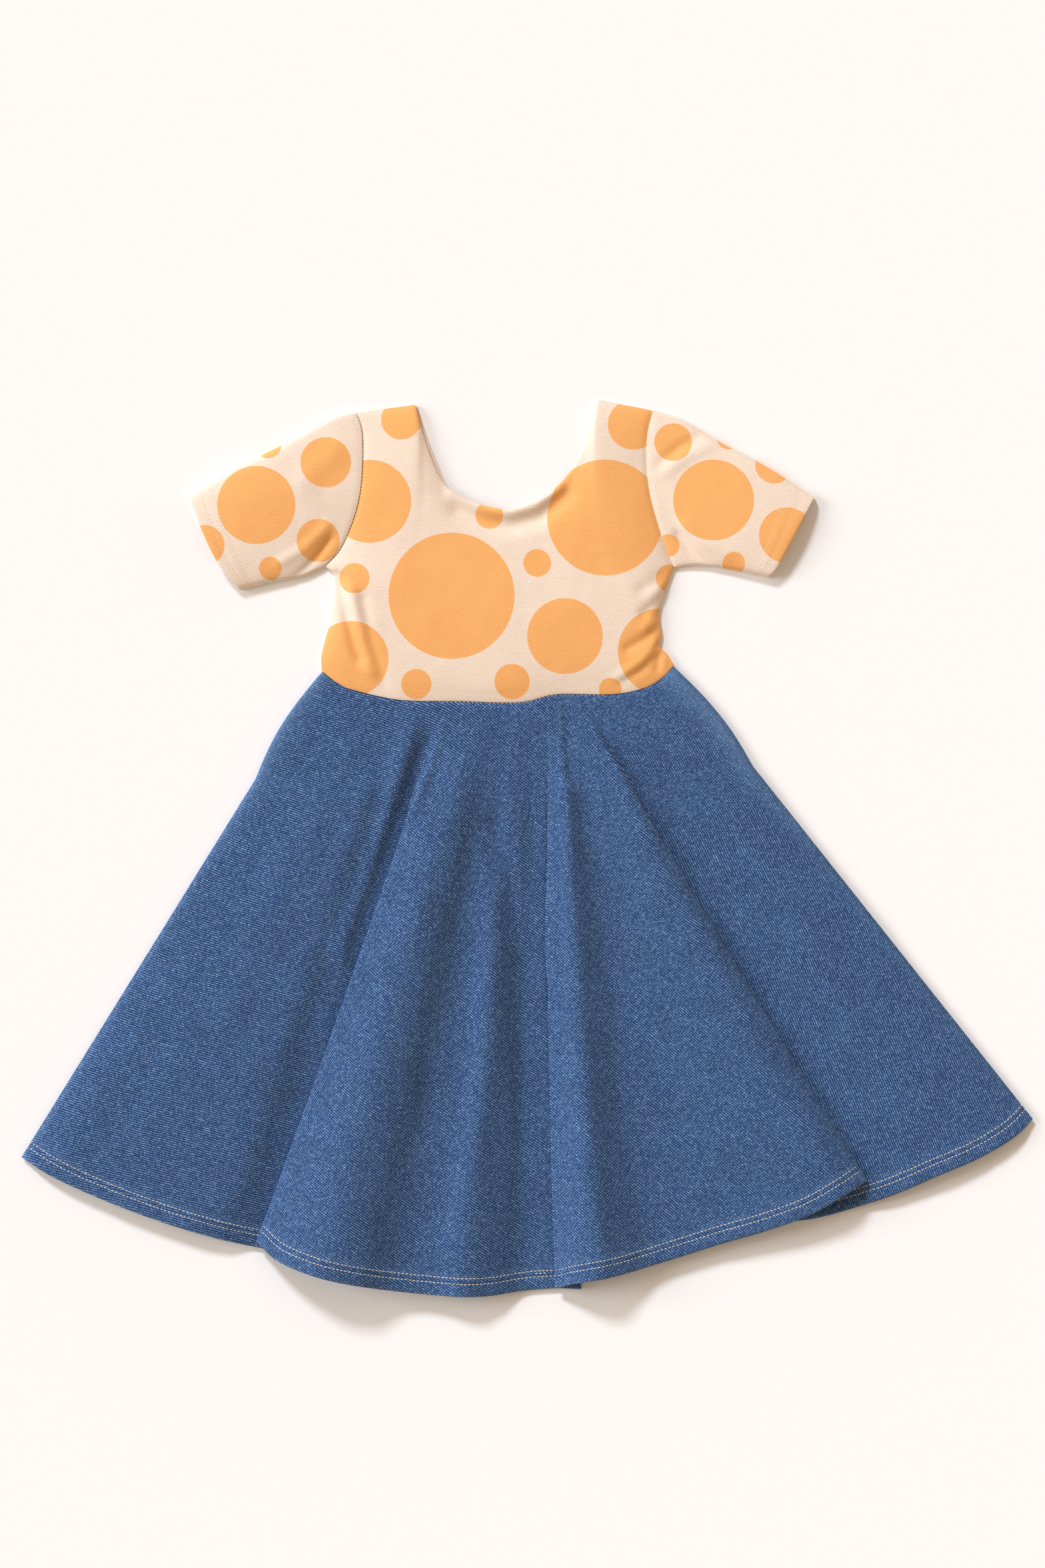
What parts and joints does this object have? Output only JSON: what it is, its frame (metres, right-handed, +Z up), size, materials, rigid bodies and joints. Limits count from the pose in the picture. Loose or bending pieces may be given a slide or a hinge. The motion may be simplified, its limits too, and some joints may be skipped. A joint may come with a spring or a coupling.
{
  "type": "twirl dress",
  "caption": "Child's short-sleeved twirl dress laid flat: spotted jersey bodice with a wide scoop neck, and a full flared denim-look skirt lying in soft folds.",
  "frame": {"origin": "centre of the bounding box at the plane that the dress lies on", "axes": "+Z up out of the surface and out of the front of the dress, +Y from the hem towards the neck, +X across the dress towards the right of the view from above, which is the wearer's left"},
  "size_m": [0.8034, 0.7114, 0.0328],
  "materials": {
    "jersey": "brushed cotton jersey, matt, cream with orange spots",
    "denim": "soft blue twill, matt with a faint sheen"
  },
  "bodies": {
    "root": {"bodice_front": "jersey", "bodice_back": "jersey", "sleeve_left": "jersey", "sleeve_right": "jersey", "skirt_front": "denim", "skirt_back": "denim"}
  },
  "joints": []
}
